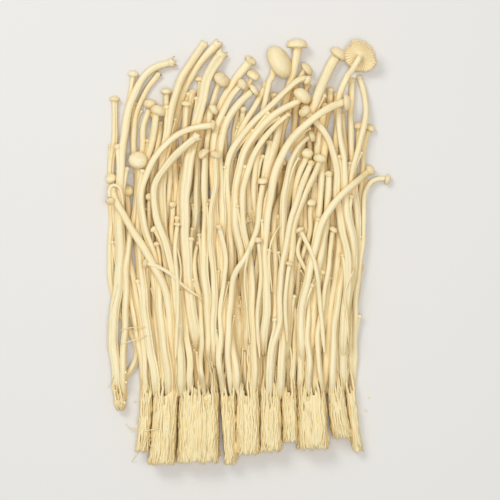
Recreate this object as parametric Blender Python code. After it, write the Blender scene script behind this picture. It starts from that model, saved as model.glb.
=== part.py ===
"""A bunch of enoki mushrooms, lying on its side as cut, for Blender 4.5.

Metres, +Z up. The stems run along +Y, from their cut ends to their caps, and the origin is under the
middle of the bunch, on the surface it lies on. The bunch is eleven clumps. Each clump's stems are grown
together at the base into one solid mass, and the stems that stay joined to it are one piece with it.
The mushrooms that have come free of the mass are pieces of their own, and lie on and over the others.

Lengths in the tables are millimetres, with x across the bunch and y along it. settle() presses the
planned stems together so that each one rests on its neighbours and none passes through another.
"""

import math

import bmesh
import bpy
import numpy as np
from mathutils import Matrix, Quaternion, Vector

MM = 0.001

# Every tube is a stack of rings, closer together towards the cap, with the same rings in every cap.
SIDES = 6
HIDDEN_SIDES = 5
STEM_POINTS = 9
POINT_CROWDING = 1.3
CAP_PROFILE = ((0.93, -0.10), (1.0, 0.12), (0.68, 0.55))
CAP_TOP = 0.74
TORN_PROFILE = ((0.96, 0.10), (0.90, 0.30), (0.55, 0.45))
TORN_TOP = 0.50

# Where the grown-together bases end and the separate stems start.
BASE_END_Y = 32.0
GAP = 0.3
ROOT_DEPTH = 1.5
FOOT_TILT = 0.3

# The bunch narrows towards its base, all but the strip that has come loose at its left.
GATHER = 0.06
GATHER_SPAN = (33.0, 85.0)
LOOSE_STRIP_X = -45.0

# How far a cap turns from its stem's own direction, and how far under its centre the stem ends.
MOST_CAP_TURN = math.radians(52)
NECK = 0.35

STEM_PITCH = 2.85
LEVEL_RISE = 2.6
LOWEST_LEVEL_Z = 1.9
FLOOR_CLEARANCE = 0.1

# The section of a base: an arch over a flat underside, with a furrow between each stem and the next.
ARCH_STEPS = 40
ARCH_SQUARENESS = 0.45
FURROW_PITCH = 2.9
FURROW_DEPTH = 0.5
POINTS_PER_RIDGE = 3
RAGGED_CUT = 0.9
CUT_HEIGHT = 0.92
TOP_HEIGHT = 0.90

FLESH = (0.93, 0.84, 0.62, 1.0)
BASE_FLESH = (0.90, 0.78, 0.50, 1.0)
CAP_FLESH = (0.94, 0.86, 0.64, 1.0)

# name: left x, right x, y of the cut end, shift of the cut end in x, its width over the top's, height
CLUMPS = {
    "clump_01_left_strip": (-50.4, -46.0, 22.0, 0.9, 0.70, 6.0),
    "clump_02_left_edge": (-39.1, -34.9, 6.4, -1.8, 1.0, 8.6),
    "clump_03_left": (-34.0, -25.2, 1.8, -1.8, 1.06, 11.6),
    "clump_04_left_wide": (-24.6, -9.9, 2.4, -0.3, 1.04, 12.2),
    "clump_05_narrow": (-9.2, -3.4, 1.4, 1.5, 0.62, 10.6),
    "clump_06_middle": (-2.7, 5.8, 5.5, -0.1, 1.03, 12.0),
    "clump_07_middle_right": (6.5, 13.7, 6.6, 0.4, 1.08, 11.8),
    "clump_08_short": (14.4, 19.8, 10.0, 0.7, 0.96, 10.4),
    "clump_09_right_wide": (20.5, 30.9, 7.4, 1.0, 1.10, 11.8),
    "clump_10_leaning": (31.6, 37.8, 11.6, 3.0, 1.06, 10.6),
    "clump_11_right_strip": (38.8, 42.2, 5.8, 3.4, 0.86, 6.4),
}

# Free mushrooms. name: stem width, cap width (0 is a torn tip), level, cap axis or None for the
# stem's own direction, then the way the stem runs from its foot to its cap.
FREE = {
    "left_hook_outer": (3.2, 0, 3, None, (-48.2, 33), (-48.3, 55), (-47.6, 75), (-46.4, 95), (-45.4, 115),
                        (-44.6, 130), (-42.6, 141), (-38.5, 149), (-33.5, 154.2), (-27.5, 155.6)),
    "left_hook_inner": (2.4, 0, 3, None, (-46.0, 33), (-46.2, 55), (-45.2, 75), (-44.0, 95), (-43.0, 115),
                        (-42.2, 130), (-40.4, 139), (-37.2, 146.5), (-33.0, 151)),
    "left_tall_pin": (2.0, 3.9, 1, None, (-42.6, 33), (-42.4, 50), (-46, 67), (-47.2, 85), (-47.4, 105), (-46.6, 120),
                      (-44.4, 135), (-42.9, 145), (-42.2, 151)),
    "left_side_button": (2.2, 4.3, 1, (-0.3, 0.5, 0.8), (-41.6, 33), (-41.6, 50), (-44.8, 67), (-48, 85), (-49.4, 100), (-49.6, 111)),
    "left_oval_button": (2.4, 5.0, 3, (0.3, 0.5, 0.8), (-40.5, 33), (-40.9, 52), (-43.4, 68), (-44.8, 82), (-44.6, 95), (-44, 106)),
    "left_crossing": (2.9, 2.8, 4, None, (-27.2, 33), (-29.2, 60), (-32.5, 72), (-36, 81), (-40, 88), (-44, 95),
                      (-47.5, 101), (-49.4, 107)),
    "left_tall_button": (2.6, 5.2, 2, (0.15, 0.95, 0.3), (-39, 33), (-39.2, 55), (-41.2, 75), (-41.8, 95),
                         (-40.6, 110), (-38.8, 121), (-37.2, 130), (-35.8, 139.4)),
    "left_round_cap": (2.4, 7.2, 3, (0.1, 0.35, 0.93), (-35.5, 33), (-37, 55), (-38.5, 75), (-40.2, 95),
                       (-39.8, 107), (-38, 117.5)),
    "left_rimmed_cap": (2.8, 6.0, 2, (0.35, 0.93, 0.1), (-33, 33), (-35, 60), (-36.5, 80), (-36.8, 100),
                        (-35.2, 115), (-33.4, 126), (-31.6, 136.6)),
    "left_back_button": (2.6, 4.2, 1, (0.2, 0.9, 0.4), (-31, 33), (-32, 60), (-33, 85), (-34, 110), (-33.5, 125),
                         (-32, 136), (-29.8, 144)),
    "tall_torn_outer": (2.9, 0, 2, None, (-25.2, 33), (-27, 55), (-29.5, 80), (-31, 100), (-30.6, 118),
                        (-28.8, 132), (-25.6, 143), (-20.8, 153), (-14.6, 162)),
    "tall_torn_middle": (3.1, 0, 2, None, (-22.5, 33), (-24.3, 55), (-26.4, 80), (-27.8, 100), (-27.4, 116),
                         (-25.4, 131), (-21.8, 142), (-16.6, 153), (-10, 163)),
    "tall_torn_inner": (3.8, 0, 2, None, (-19, 33), (-20, 55), (-21.6, 80), (-22.4, 100), (-21.6, 116),
                        (-19.4, 130), (-16.6, 141), (-13, 151), (-8.8, 158.4)),
    "folded_cap": (2.2, 6.2, 1, (0.5, 0.4, 0.75), (-17, 33), (-18.2, 60), (-19.4, 90), (-18.6, 115), (-15.4, 132),
                   (-12.4, 142), (-10.4, 148.8)),
    "turned_button": (2.2, 4.2, 2, (0.8, 0.5, 0.3), (-15.2, 33), (-16.4, 60), (-17, 90), (-16, 115), (-13.8, 128),
                      (-12, 137.2)),
    "sweeping_over": (2.5, 3.9, 4, (1, 0.05, 0), (-29.4, 33), (-31.2, 60), (-33, 75), (-36.4, 90), (-38.8, 102),
                      (-37.6, 112), (-32.6, 120.5), (-25, 127.4), (-18, 130.2), (-11.6, 130.7)),
    "sweeping_under": (3.3, 0, 4, None, (-23.5, 33), (-25.2, 60), (-27.4, 76), (-30.4, 88), (-33.8, 99),
                       (-34, 107.5), (-30.4, 114.5), (-24.6, 120.6), (-17.6, 126.2)),
    "crumpled_left": (2.6, 4.6, 3, (-0.5, 0.8, 0.3), (-13.4, 33), (-14.2, 60), (-14.6, 85), (-14.2, 105),
                      (-14.2, 120)),
    "crumpled_right": (2.4, 4.0, 3, (0.3, 0.8, 0.5), (-11.4, 33), (-11.8, 60), (-12, 85), (-11.6, 105),
                       (-10.6, 119.4)),
    "bent_pin": (2.3, 3.0, 3, (0.1, 0.95, 0.3), (-21, 33), (-23.6, 55), (-25.6, 75), (-27.6, 88), (-27.8, 101)),
    "middle_button_left": (2.8, 4.3, 2, (0.8, 0.55, 0.1), (-10.9, 33), (-11.4, 60), (-12.2, 85), (-12.4, 105),
                           (-11.8, 122), (-8.6, 136), (-4.6, 142.8), (-0.8, 146.8)),
    "middle_button_right": (2.6, 4.8, 2, (0.75, 0.6, 0.2), (-8.4, 33), (-8.8, 60), (-9.2, 85), (-9.4, 105),
                            (-9, 120), (-6.4, 133), (-1.6, 140), (3.4, 145)),
    "middle_crumpled": (3.2, 4.4, 1, None, (-6.6, 33), (-7, 60), (-8.2, 85), (-10.4, 110), (-11.2, 128),
                        (-8.6, 140), (-3.6, 149), (3, 155.6)),
    "middle_back_cap": (2.2, 5.0, 1, (0.3, 0.7, 0.6), (-4.2, 33), (-5, 60), (-6, 90), (-6.5, 115), (-4.5, 130),
                        (-0.5, 142), (2.8, 150.8)),
    "middle_slanted": (2.4, 3.4, 2, None, (-3.8, 33), (-4.4, 60), (-5.4, 85), (-6.6, 105), (-5.6, 119),
                       (-1.2, 130.5), (4.2, 139.6), (8.8, 146.4)),
    "hooked_pin": (2.8, 3.6, 3, (0.5, -0.8, 0), (-1, 33), (-1.6, 60), (-3.6, 85), (-6, 102), (-6.2, 114),
                   (-2, 125.6), (6, 134.6), (14, 142.6), (20.4, 148), (23.9, 149.2)),
    "broad_cap_slanted": (2.8, 7.0, 3, (0.64, 0.77, 0.05), (1, 33), (0.8, 60), (-0.8, 85), (-2.6, 100),
                          (-2.2, 112), (1.8, 122), (8.2, 131.4), (15.2, 137.2), (22.2, 141.2)),
    "slanted_partner": (2.2, 2.6, 3, None, (3.2, 33), (3.2, 60), (1.8, 85), (0, 102), (0.4, 113), (4.8, 122.6),
                        (10.8, 130), (16.4, 135.4)),
    "leaning_button": (2.3, 4.2, 4, (-0.1, 0.95, 0.3), (-7, 33), (-5.8, 55), (-2.2, 74), (2.8, 86), (6.2, 97),
                       (6, 109.4)),
    "broken_stub": (2.6, 0, 3, None, (-2.9, 33), (-3.2, 60), (-4, 76), (-3, 86), (0, 91.5), (3.6, 95.4)),
    "great_oval_cap": (2.4, 10.2, 2, (0.67, 0.39, 0.63), (5.6, 33), (6, 60), (5.6, 85), (5, 105), (5.4, 122),
                       (7.6, 138), (10, 148.6), (13.2, 155.2)),
    "tall_domed_cap": (3.4, 7.6, 2, (0, 1, 0.05), (8.8, 33), (9.2, 60), (9.4, 85), (10, 105), (12.4, 122),
                       (16.2, 136), (19, 147), (20, 155), (20.3, 161.6)),
    "behind_domed_cap": (2.2, 5.6, 1, (0.8, 0.55, 0.2), (10.8, 33), (11, 60), (11.6, 85), (12.4, 108), (15, 128),
                         (19.4, 143), (23, 153)),
    "tall_tilted_cap": (3.4, 6.6, 2, (0.6, 0.78, 0.15), (13, 33), (13.2, 60), (14, 85), (15.6, 105), (19.2, 121),
                        (24, 134), (28, 144.6), (31.8, 152.6), (35.8, 158.2)),
    "long_arching_cap": (2.8, 6.0, 4, (1, 0.05, 0.1), (8.0, 33), (7.6, 60), (7.2, 85), (8.6, 103), (12.6, 116.4),
                         (18.6, 126.4), (26, 134), (32.6, 137.8), (38.2, 139.5)),
    "inner_button": (2.6, 3.6, 3, (0.7, 0.7, 0.2), (5, 33), (5, 60), (5.6, 80), (7.6, 97), (11.2, 109),
                     (16, 117)),
    "right_thin_button": (2.2, 3.0, 3, None, (12.6, 33), (12.8, 60), (15.6, 82), (18.8, 98), (22.4, 108.4),
                          (26.4, 116.8)),
    "right_button": (2.5, 4.9, 3, (0.2, 0.95, 0.2), (16.4, 33), (17, 60), (18.4, 82), (20.8, 97), (24.6, 107),
                     (29, 118)),
    "right_side_button": (2.4, 4.2, 3, (0.9, 0.3, 0.3), (14.2, 33), (15, 60), (15.6, 85), (16, 105), (17.6, 117),
                          (21.2, 124.4), (25.2, 127.4)),
    "backward_arch": (2.9, 4.6, 3, (-0.6, 0.4, 0.7), (35.4, 33), (37, 60), (38.2, 85), (38, 103), (36.2, 115),
                      (32.8, 124.6), (28, 132), (23.4, 136)),
    "gilled_cap": (2.4, 12.0, 3, (0.18, 0.42, -0.89), (37.4, 33), (38.2, 60), (38.6, 85), (37.6, 105), (36.2, 122),
                   (35.8, 135), (37.2, 145.4), (40.2, 152), (44.4, 157.8)),
    "right_upright": (2.6, 3.0, 2, None, (39.6, 33), (40.2, 60), (41, 85), (40.8, 105), (41, 122), (41.6, 138),
                      (41.8, 148.6)),
    "right_bowed": (2.3, 2.6, 3, None, (34, 33), (35.4, 60), (38, 85), (40, 105), (42, 120), (44.8, 131),
                    (46.3, 140), (45.2, 146.6), (43.8, 150)),
    "right_pin": (2.4, 3.9, 2, (0.4, 0.8, 0.4), (42.8, 33), (42.6, 60), (42.8, 85), (43.2, 103), (43.8, 117),
                  (46.4, 130.6)),
    "right_crossing": (2.8, 4.3, 4, (0.75, 0.6, 0.2), (22.8, 33), (23.6, 60), (25.6, 76), (27.8, 88), (31.6, 97.4),
                       (37.2, 105.4), (43, 110.8), (48.2, 115)),
    "right_hooked": (2.0, 4.0, 2, (0.95, -0.25, 0.1), (43.9, 33), (43.8, 60), (43.6, 80), (43.8, 95),
                     (44.8, 104), (47.6, 109.6), (51.4, 111.6), (54.6, 110.8)),
    "right_short_pin": (2.1, 3.4, 3, (0.5, 0.7, 0.5), (28, 33), (28.8, 60), (30.4, 76), (33, 86), (35.6, 91)),
    "right_straight_outer": (3.1, 3.4, 2, None, (31.4, 33), (32.8, 60), (34.8, 85), (36.4, 105), (37.6, 120)),
    "right_straight_inner": (3.0, 3.2, 2, None, (25.2, 33), (27, 60), (28.8, 85), (30.2, 100), (32.2, 113)),
}

# Mushrooms that stay joined to their clump: stem width, cap width, level, cap axis, way.
JOINED = (
    (1.8, 2.4, 2, None, (-29.6, 33), (-33, 60), (-34.4, 85), (-34.4, 105), (-33.2, 118), (-30.8, 132)),
    (1.9, 3.4, 3, (0, 0.5, 0.86), (-30.6, 33), (-33, 60), (-35, 80), (-36, 95), (-35.8, 104)),
    (1.9, 2.4, 3, None, (-21.6, 33), (-22.2, 60), (-23.6, 78), (-23.8, 88), (-23, 96)),
    (1.7, 2.4, 3, None, (-17.6, 33), (-17.4, 60), (-18.2, 74), (-19.8, 86)),
    (2.0, 2.7, 3, None, (-16.8, 33), (-16.4, 60), (-16.2, 72), (-13.8, 81)),
    (1.9, 2.6, 3, None, (-8.8, 33), (-9.2, 60), (-8.2, 76), (-8.6, 86), (-10, 92.4)),
    (2.0, 3.2, 3, (-0.4, 0.8, 0.4), (27, 33), (26.4, 60), (24.4, 76), (20.8, 89.8)),
    (2.0, 3.4, 2, (0, 0.6, 0.8), (20, 33), (21, 60), (23, 85), (24.4, 102.4)),
    (1.7, 2.7, 3, None, (20.4, 33), (20.2, 60), (18.6, 70), (17, 77.8)),
    (2.2, 4.4, 2, (0, 0.6, 0.8), (17.6, 33), (18.5, 60), (19.6, 85), (21, 105), (24, 120.4)),
    (2.2, 2.8, 3, None, (5.6, 33), (4.8, 52), (5.2, 62), (5.8, 70.6)),
)

# The rest of each clump is filled with stems that stay under the others.
FILLER_WIDTHS = (2.1, 2.9)
FILLER_CAPS = (2.6, 4.2)
FILLER_REACH = (98.0, 150.0)
FILLER_LEVELS = 3
FILLER_LEAN = (-3.0, 7.0)
FILLER_WAVE = 1.2
SEED = 14


def clump_of(x):
    """The clump whose base a stem at this x grows from."""
    return min(CLUMPS, key=lambda name: max(CLUMPS[name][0] - x, x - CLUMPS[name][1], 0.0))


def resampled(way, count):
    """count points evenly spaced along a smooth curve through the way's points."""
    way = np.array(way, float)
    ends = 2 * way[0] - way[1], 2 * way[-1] - way[-2]
    padded = np.vstack([ends[0], way, ends[1]])
    steps = np.linspace(0, 1, 12, endpoint=False)[:, None]
    curve = []
    for a, b, c, d in zip(padded, padded[1:], padded[2:], padded[3:]):
        curve.append(0.5 * (2 * b + (c - a) * steps + (2 * a - 5 * b + 4 * c - d) * steps**2
                            + (3 * b - a - 3 * c + d) * steps**3))
    curve = np.vstack([*curve, way[-1:]])
    along = np.concatenate([[0], np.cumsum(np.linalg.norm(np.diff(curve, axis=0), axis=1))])
    wanted = along[-1] * (1 - (1 - np.linspace(0, 1, count)) ** POINT_CROWDING)
    return np.column_stack([np.interp(wanted, along, curve[:, i]) for i in range(curve.shape[1])])


def gathered(x, y):
    """x drawn in towards the middle of the bunch, the more the nearer y is to the base."""
    start, end = GATHER_SPAN
    return x * (1 - GATHER * min(max((end - y) / (end - start), 0.0), 1.0))


def mushroom(row, clump=None, free=True):
    """One planned mushroom: its widths, its level and its way, as a dict."""
    stem, cap, level, axis, *way = row
    if way[0][0] > LOOSE_STRIP_X:
        way = [(gathered(x, y), y) for x, y in way]
    return {
        "stem": stem / 2,
        "torn": cap == 0,
        "cap": (cap or stem * 1.02) / 2,
        "level": level,
        "axis": None if axis is None else Vector(axis).normalized(),
        "way": way,
        "clump": clump or clump_of(way[0][0]),
        "free": free,
        "sides": SIDES,
    }


def filler_rows(placed):
    """Rows for the stems that fill each clump up to as many as its base has room for."""
    chance = np.random.default_rng(SEED)
    rows = []
    for name, (left, right, _, _, _, height) in CLUMPS.items():
        room = int((right - left) * height / STEM_PITCH**2)
        spare = max(room - sum(m["clump"] == name for m in placed), 0)
        for i in range(spare):
            foot = left + (i + 0.5) / spare * (right - left)
            reach = chance.uniform(*FILLER_REACH)
            lean = chance.uniform(*FILLER_LEAN)
            wave = chance.uniform(-FILLER_WAVE, FILLER_WAVE, 3)
            way = []
            for t, sway in zip((0.0, 0.35, 0.7, 1.0), (0.0, *wave)):
                way.append((foot * (1 + 0.05 * t) + lean * t**2 + sway, 33 + (reach - 33) * t))
            stem = chance.uniform(*FILLER_WIDTHS)
            level = i % FILLER_LEVELS
            rows.append((name, (stem, chance.uniform(*FILLER_CAPS), level, None, *way)))
    return rows


def planned():
    """Every mushroom of the bunch: the free ones by name, then the joined ones and the fillers."""
    bunch = [mushroom(row) | {"name": name} for name, row in FREE.items()]
    bunch += [mushroom(row, free=False) for row in JOINED]
    bunch += [
        mushroom(row, clump, free=False) | {"sides": HIDDEN_SIDES} for clump, row in filler_rows(bunch)
    ]
    return bunch


def nearest_points(a0, a1, b0, b1):
    """Where along each segment, from 0 to 1, two lists of segments come nearest each other."""
    u, v, w = a1 - a0, b1 - b0, a0 - b0
    uu, uv, vv = (np.einsum("ij,ij->i", *pair) for pair in ((u, u), (u, v), (v, v)))
    uw, vw = np.einsum("ij,ij->i", u, w), np.einsum("ij,ij->i", v, w)
    tiny = 1e-9
    s = np.clip((uv * vw - vv * uw) / np.maximum(uu * vv - uv * uv, tiny), 0, 1)
    t = np.clip((uv * s + vw) / np.maximum(vv, tiny), 0, 1)
    s = np.clip((uv * t - uw) / np.maximum(uu, tiny), 0, 1)
    return s[:, None], t[:, None]


class Bunch:
    """The stems as chains of points that push each other apart, under a little gravity."""

    def __init__(self, mushrooms):
        self.mushrooms = mushrooms
        count, points = len(mushrooms), STEM_POINTS + 1
        self.stem = np.array([m["stem"] for m in mushrooms])
        cap = np.array([m["cap"] for m in mushrooms])
        self.ball = np.where(cap < 2.6, cap, 0.62 * cap + 1.0)
        self.floor = np.repeat(self.stem[:, None], points, axis=1) + FLOOR_CLEARANCE
        self.floor[:, -1] = np.maximum(cap, self.ball) + FLOOR_CLEARANCE
        self.place = np.zeros((count, points, 3))
        self.feet = np.zeros((count, 4))
        for i, m in enumerate(mushrooms):
            self.place[i, :, :2] = resampled(m["way"], points)
            self.place[i, :, 2] = LOWEST_LEVEL_Z + LEVEL_RISE * m["level"]
            left, right, _, _, _, height = CLUMPS[m["clump"]]
            r = m["stem"]
            self.feet[i] = left + r, right - r, r, TOP_HEIGHT * height - r
        self.place[:, 0, 1] = [
            BASE_END_Y + (GAP + FOOT_TILT * m["stem"] if m["free"] else -ROOT_DEPTH)
            for m in mushrooms
        ]
        self.plan = self.place.copy()
        self.lengths = np.linalg.norm(np.diff(self.place, axis=1), axis=2)
        first = np.tile(np.arange(points), (count, 1))
        second = np.minimum(first + 1, points - 1)
        base = np.arange(count)[:, None] * points
        self.owner = np.repeat(np.arange(count), points)
        self.first, self.second = (first + base).ravel(), (second + base).ravel()
        radii = np.repeat(self.stem[:, None], points, axis=1)
        radii[:, -1] = self.ball
        self.radii = radii.ravel()
        self.pairs = None

    def find_pairs(self, reach):
        """The pairs of segments near enough to touch soon."""
        flat = self.place.reshape(-1, 3)
        a, b = flat[self.first], flat[self.second]
        low = np.minimum(a, b) - self.radii[:, None] - reach
        high = np.maximum(a, b) + self.radii[:, None] + reach
        i, j = np.triu_indices(len(low), 1)
        apart = self.owner[i] != self.owner[j]
        i, j = i[apart], j[apart]
        for axis in range(3):
            near = (low[i, axis] < high[j, axis]) & (low[j, axis] < high[i, axis])
            i, j = i[near], j[near]
        self.pairs = i, j

    def part_pairs(self, share):
        """Moves touching segments apart, and says how deep the worst overlap was."""
        flat = self.place.reshape(-1, 3)
        i, j = self.pairs
        a0, a1 = self.first[i], self.second[i]
        b0, b1 = self.first[j], self.second[j]
        s, t = nearest_points(flat[a0], flat[a1], flat[b0], flat[b1])
        between = flat[a0] * (1 - s) + flat[a1] * s - flat[b0] * (1 - t) - flat[b1] * t
        distance = np.linalg.norm(between, axis=1)
        depth = self.radii[i] + self.radii[j] + GAP - distance
        hit = depth > 0
        if not hit.any():
            return 0.0
        s, t, between, distance, depth = s[hit], t[hit], between[hit], distance[hit], depth[hit]
        normal = between / np.maximum(distance, 1e-6)[:, None]
        normal[distance < 1e-6] = (0, 0, 1)
        weights = (1 - s, s, 1 - t, t)
        total = sum(w**2 for w in weights)
        move, touched = np.zeros_like(flat), np.zeros((len(flat), 1))
        for index, weight, sign in zip((a0, a1, b0, b1), weights, (1, 1, -1, -1)):
            np.add.at(move, index[hit], sign * normal * depth[:, None] * weight / total)
            np.add.at(touched, index[hit], weight)
        flat += share * move / np.maximum(touched, 1.0)
        return float(depth.max())

    def keep_lengths(self):
        """Pulls each chain back to its stem's real length."""
        step = np.diff(self.place, axis=1)
        length = np.linalg.norm(step, axis=2)
        pull = 0.5 * step * ((length - self.lengths) / np.maximum(length, 1e-6))[:, :, None]
        self.place[:, :-1] += 0.5 * pull
        self.place[:, 1:] -= 0.5 * pull

    def smooth(self, share):
        """Takes kinks out of how far each stem has moved from its plan."""
        moved = self.place - self.plan
        moved[:, :, 2] = self.place[:, :, 2]
        change = (moved[:, :-2] + moved[:, 2:]) / 2 - moved[:, 1:-1]
        self.place[:, 1:-1] += share * change

    def hold(self):
        """Keeps each foot on its clump's end and everything above the surface."""
        left, right, low, high = self.feet.T
        foot = self.place[:, 0]
        foot[:, 0] = np.clip(foot[:, 0], left, right)
        foot[:, 1] = self.plan[:, 0, 1]
        foot[:, 2] = np.clip(foot[:, 2], low, high)
        np.maximum(self.place[:, :, 2], self.floor, out=self.place[:, :, 2])
        clear = BASE_END_Y + GAP + 0.1
        np.maximum(self.place[:, 1:, 1], clear, out=self.place[:, 1:, 1])

    def settle(self, rounds, pull, weight, stiff):
        for step in range(rounds):
            if step % 10 == 0:
                self.find_pairs(reach=1.5)
            self.place[:, :, :2] += pull * (self.plan[:, :, :2] - self.place[:, :, :2])
            self.place[:, :, 2] -= weight
            self.smooth(stiff)
            self.keep_lengths()
            self.part_pairs(share=0.8)
            self.hold()

    def pull_free(self, rounds):
        """Parts what still touches, with nothing else acting on the stems."""
        for step in range(rounds):
            if step % 10 == 0:
                self.find_pairs(reach=1.0)
            worst = self.part_pairs(share=1.0)
            self.hold()
            if worst < 0.25 * GAP:
                break
        return worst


def settled_ways(mushrooms):
    """Each mushroom's points after the bunch has been pressed together, in millimetres."""
    bunch = Bunch(mushrooms)
    bunch.settle(rounds=260, pull=0.08, weight=0.06, stiff=0.35)
    bunch.settle(rounds=160, pull=0.03, weight=0.03, stiff=0.20)
    worst = bunch.pull_free(rounds=900)
    print(f"{len(mushrooms)} mushrooms settled, with at least {GAP - worst:.2f} mm between them")
    return bunch.place


def ring_frames(points, radius):
    """A frame for each ring of a tube through the points, turned as little as it can be."""
    frames = []
    side = Vector((1, 0, 0))
    for k, point in enumerate(points):
        before, after = points[max(k - 1, 0)], points[min(k + 1, len(points) - 1)]
        ahead = (after - before).normalized()
        side = (side - ahead * side.dot(ahead)).normalized()
        frames.append(ring_frame(point, ahead, side, radius))
    return frames, side


def ring_frame(centre, ahead, side, radius):
    """The matrix that takes a unit circle in XY to a ring of this radius facing ahead."""
    across = ahead.cross(side)
    turn = Matrix((side, across, ahead)).transposed().to_4x4()
    return Matrix.Translation(centre) @ turn @ Matrix.Scale(radius, 4)


def grow(bm, sides, frames, tip):
    """Extrudes a face along the frames' rings and closes it at the tip."""
    made = bmesh.ops.create_circle(bm, cap_ends=True, radius=1.0, segments=sides, matrix=frames[0])
    face = made["verts"][0].link_faces[0]
    for last, frame in zip(frames, frames[1:]):
        face = bmesh.ops.extrude_discrete_faces(bm, faces=[face])["faces"][0]
        bmesh.ops.transform(bm, verts=face.verts[:], matrix=frame @ last.inverted())
    poked = bmesh.ops.poke(bm, faces=[face])
    poked["verts"][0].co = tip


def turned_within(wanted, ahead, most):
    """The wanted direction, or the nearest to it that turns from ahead by no more than this."""
    turn = ahead.rotation_difference(wanted)
    share = min(1.0, most / max(turn.angle, 1e-6))
    return Quaternion().slerp(turn, share) @ ahead


def build_mushroom(bm, m, points):
    """Stem and cap in one: the stem's rings, then the cap's, then the crown."""
    points = [Vector(p) * MM for p in points]
    stem, cap = m["stem"] * MM, m["cap"] * MM
    profile, top = (TORN_PROFILE, TORN_TOP) if m["torn"] else (CAP_PROFILE, CAP_TOP)
    centre = points[-1]
    ahead = (points[-1] - points[-2]).normalized()
    axis = turned_within(m["axis"] or ahead, ahead, MOST_CAP_TURN)
    frames, side = ring_frames(points[:-1], stem)
    side = (side - axis * side.dot(axis)).normalized()
    frames.append(ring_frame(centre - axis * NECK * cap, axis, side, stem))
    for wide, high in profile:
        frames.append(ring_frame(centre + axis * high * cap, axis, side, wide * cap))
    grow(bm, m["sides"], frames, centre + axis * top * cap)
    bmesh.ops.holes_fill(bm, edges=bm.edges[:], sides=0)
    bmesh.ops.recalc_face_normals(bm, faces=bm.faces[:])


def base_outline(left, right, height):
    """A clump's section as (x, z) points: the backs of its stems in an arch, from right to left."""
    half, middle = (right - left) / 2, (right + left) / 2
    arch = []
    for step in range(ARCH_STEPS + 1):
        angle = math.pi * step / ARCH_STEPS
        over, up = math.cos(angle), math.sin(angle)
        over = math.copysign(abs(over) ** ARCH_SQUARENESS, over)
        arch.append((middle + half * over, height * abs(up) ** ARCH_SQUARENESS))
    arch[0], arch[-1] = (right, 0.0), (left, 0.0)
    arch = np.array(arch)
    along = np.concatenate([[0], np.cumsum(np.linalg.norm(np.diff(arch, axis=0), axis=1))])
    count = max(round(along[-1] / FURROW_PITCH), 3) * POINTS_PER_RIDGE
    wanted = np.linspace(0, along[-1], count + 1)
    outline = np.column_stack([np.interp(wanted, along, arch[:, i]) for i in range(2)])
    inward = np.array((middle, height * 0.4)) - outline
    inward /= np.linalg.norm(inward, axis=1)[:, None]
    furrows = slice(POINTS_PER_RIDGE, count, POINTS_PER_RIDGE)
    outline[furrows] += FURROW_DEPTH * inward[furrows]
    return outline.tolist()


def build_base(bm, clump):
    """A clump's grown-together base, from its ragged cut end to where its stems part."""
    left, right, cut_y, shift, spread, height = CLUMPS[clump]
    sections = ((0.0, CUT_HEIGHT, RAGGED_CUT), (0.35, 1.0, 0.0), (1.0, TOP_HEIGHT, 0.0))
    centre = (left + right) / 2
    chance = np.random.default_rng(SEED)
    loops = []
    for along, high, ragged in sections:
        y = cut_y + (BASE_END_Y - cut_y) * along
        wide = 1 + (spread - 1) * (1 - along)
        loop = []
        for x, z in base_outline(left, right, height):
            cut = ragged * chance.uniform(-1, 1) if z else 0.0
            x = centre + (x - centre) * wide + shift * (1 - along) ** 1.5
            loop.append(bm.verts.new(Vector((x, y + cut, z * high)) * MM))
        loops.append(loop)
    edges = []
    for loop in loops:
        edges.append([bm.edges.new(pair) for pair in zip(loop, loop[1:] + loop[:1])])
    for before, after in zip(edges, edges[1:]):
        bmesh.ops.bridge_loops(bm, edges=before + after)
    for ring in (edges[0], edges[-1]):
        bmesh.ops.contextual_create(bm, geom=ring)
    bmesh.ops.triangulate(bm, faces=bm.faces[:])
    bmesh.ops.recalc_face_normals(bm, faces=bm.faces[:])


def material(name, colour, roughness):
    made = bpy.data.materials.new(name)
    made.use_nodes = True
    shader = made.node_tree.nodes["Principled BSDF"]
    shader.inputs["Base Color"].default_value = colour
    shader.inputs["Roughness"].default_value = roughness
    shader.inputs["Metallic"].default_value = 0.0
    made.diffuse_color = colour
    return made


def add_object(name, bm, finish):
    """A smooth-shaded object of this mesh, linked into the scene."""
    mesh = bpy.data.meshes.new(name)
    bm.to_mesh(mesh)
    bm.free()
    mesh.materials.append(finish)
    mesh.shade_smooth()
    mesh.set_sharp_from_angle(angle=math.radians(50))
    made = bpy.data.objects.new(name, mesh)
    bpy.context.scene.collection.objects.link(made)
    return made


def join_to(base, stems):
    """Unites the stems with their clump's base, and hides the stems that the union reads."""
    grown = bpy.data.collections.new(base.name + "_stems")
    bpy.context.scene.collection.children.link(grown)
    for stem in stems:
        bpy.context.scene.collection.objects.unlink(stem)
        grown.objects.link(stem)
        stem.hide_render = True
        stem.display_type = "WIRE"
    union = base.modifiers.new("grown_together", "BOOLEAN")
    union.operation = "UNION"
    union.operand_type = "COLLECTION"
    union.collection = grown
    union.solver = "EXACT"


def centre_over_origin():
    """Moves the whole bunch so that its box's middle is over the origin."""
    bpy.context.view_layer.update()
    corners = [o.matrix_world @ Vector(c) for o in bpy.data.objects for c in o.bound_box]
    middle = [(min(c[i] for c in corners) + max(c[i] for c in corners)) / 2 for i in range(2)]
    for o in bpy.data.objects:
        o.location = (-middle[0], -middle[1], 0)
    bpy.context.view_layer.update()


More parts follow.
